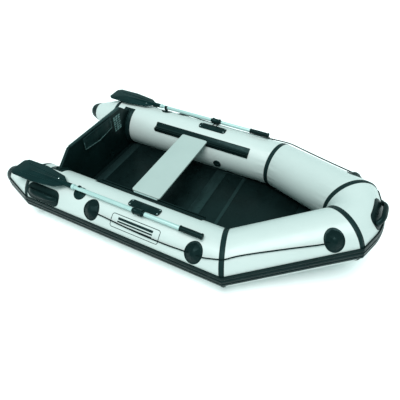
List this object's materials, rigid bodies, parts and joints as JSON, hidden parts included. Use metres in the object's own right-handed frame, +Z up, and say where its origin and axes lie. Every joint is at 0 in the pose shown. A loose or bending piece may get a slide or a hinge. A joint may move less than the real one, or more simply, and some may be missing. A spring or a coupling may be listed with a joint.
{
  "type": "inflatable dinghy",
  "caption": "Inflatable dinghy: air tubes with tapered stern ends and a raised bow, hard transom, board floor, sliding seat, grab lines and oars stowed on tilting rowlocks.",
  "frame": {"origin": "on the ground under the middle of the boat, within 14 mm of the middle of its overall box", "axes": "+X to the bow, +Y to port, +Z up"},
  "size_m": [3.1467, 1.6562, 0.6069],
  "materials": {
    "hull_fabric": "coated fabric, satin",
    "dark_fabric": "coated fabric, satin",
    "black_rubber": "satin",
    "black_plastic": "moulded, fine texture",
    "floor_board": "dark film-faced plywood",
    "dark_aluminium": "dark anodised",
    "seat_paint": "light grey film-faced board",
    "aluminium": "satin",
    "steel": "satin",
    "plate_print": "printed sheet",
    "rope": "braided"
  },
  "bodies": {
    "hull": {"bottom_fabric": "dark_fabric", "bow_tube_port": "hull_fabric", "bow_tube_starboard": "hull_fabric", "chamber_baffles": "dark_fabric", "cone_tip_caps": "black_rubber", "drain_body": "black_plastic", "floor_board_bow": "floor_board", "floor_board_fore": "floor_board", "floor_board_main": "floor_board", "floor_board_stern": "floor_board", "floor_joiners": "dark_aluminium", "floor_stringers": "dark_aluminium", "grab_line_patches": "black_rubber", "grab_line_port": "rope", "grab_line_starboard": "rope", "handle_grips": "black_rubber", "handle_plates": "black_rubber", "keel_tube": "dark_fabric", "nose_tube": "hull_fabric", "oar_clips": "black_plastic", "pad_screws": "steel", "rating_plate": "plate_print", "rowlock_base_port": "black_plastic", "rowlock_base_starboard": "black_plastic", "rub_rail_nose": "black_rubber", "rub_rail_port": "black_rubber", "rub_rail_starboard": "black_rubber", "safety_eyelet": "steel", "seam_bands": "dark_fabric", "seat_rail_port": "black_rubber", "seat_rail_starboard": "black_rubber", "side_tube_port": "hull_fabric", "side_tube_starboard": "hull_fabric", "stern_cone_port": "hull_fabric", "stern_cone_starboard": "hull_fabric", "tilt_pins": "steel", "transom_board": "floor_board", "transom_edge_cap": "black_plastic", "transom_holders": "dark_fabric", "transom_pad_inner": "black_plastic", "transom_pad_outer": "black_plastic", "valve_bodies": "black_plastic"},
    "seat": {"seat_board": "seat_paint", "seat_sliders": "aluminium"},
    "cradle_port": {"rowlock_cradle_port": "black_plastic"},
    "cradle_starboard": {"rowlock_cradle_starboard": "black_plastic"},
    "oar_port": {"oar_collar_port": "black_plastic", "oar_shaft_port": "aluminium", "oar_grip_port": "black_plastic", "oar_ferrule_port": "aluminium", "oar_blade_port": "black_plastic"},
    "oar_starboard": {"oar_collar_starboard": "black_plastic", "oar_shaft_starboard": "aluminium", "oar_grip_starboard": "black_plastic", "oar_ferrule_starboard": "aluminium", "oar_blade_starboard": "black_plastic"},
    "drain_plug": {"drain_plug": "black_rubber"},
    "valve_cap_port": {"valve_cap_port": "black_plastic"},
    "valve_cap_starboard": {"valve_cap_starboard": "black_plastic"},
    "valve_cap_bow": {"valve_cap_bow": "black_plastic"}
  },
  "joints": [
    {"name": "seat_slide", "type": "slide", "parent": "hull", "child": "seat", "axis": [1, 0, 0], "range_m": [-0.31, 0.4]},
    {"name": "drain_pull", "type": "slide", "parent": "hull", "child": "drain_plug", "axis": [-1, 0, 0], "range_m": [0, 0.03]},
    {"name": "oar_tilt_port", "type": "hinge", "parent": "hull", "child": "cradle_port", "pos_m": [-0.073, 0.684, 0.4077], "axis": [-1, 0, 0], "range_deg": [0, 20]},
    {"name": "oar_swing_port", "type": "hinge", "parent": "cradle_port", "child": "oar_port", "pos_m": [-0.073, 0.684, 0.4405], "axis": [0, 0, -1], "range_deg": [0, 110]},
    {"name": "valve_turn_port", "type": "hinge", "parent": "hull", "child": "valve_cap_port", "pos_m": [0.072, 0.41048, 0.16388], "axis": [0, -0.9781, -0.2079], "range_deg": [0, 90]},
    {"name": "oar_tilt_starboard", "type": "hinge", "parent": "hull", "child": "cradle_starboard", "pos_m": [-0.073, -0.684, 0.4077], "axis": [1, 0, 0], "range_deg": [0, 20]},
    {"name": "oar_swing_starboard", "type": "hinge", "parent": "cradle_starboard", "child": "oar_starboard", "pos_m": [-0.073, -0.684, 0.4405], "axis": [0, 0, 1], "range_deg": [0, 110]},
    {"name": "valve_turn_starboard", "type": "hinge", "parent": "hull", "child": "valve_cap_starboard", "pos_m": [0.072, -0.41048, 0.16388], "axis": [0, 0.9781, -0.2079], "range_deg": [0, 90]},
    {"name": "valve_turn_bow", "type": "hinge", "parent": "hull", "child": "valve_cap_bow", "pos_m": [0.8246, -0.25184, 0.23422], "axis": [-0.4549, 0.8503, -0.2646], "range_deg": [0, 90]}
  ]
}
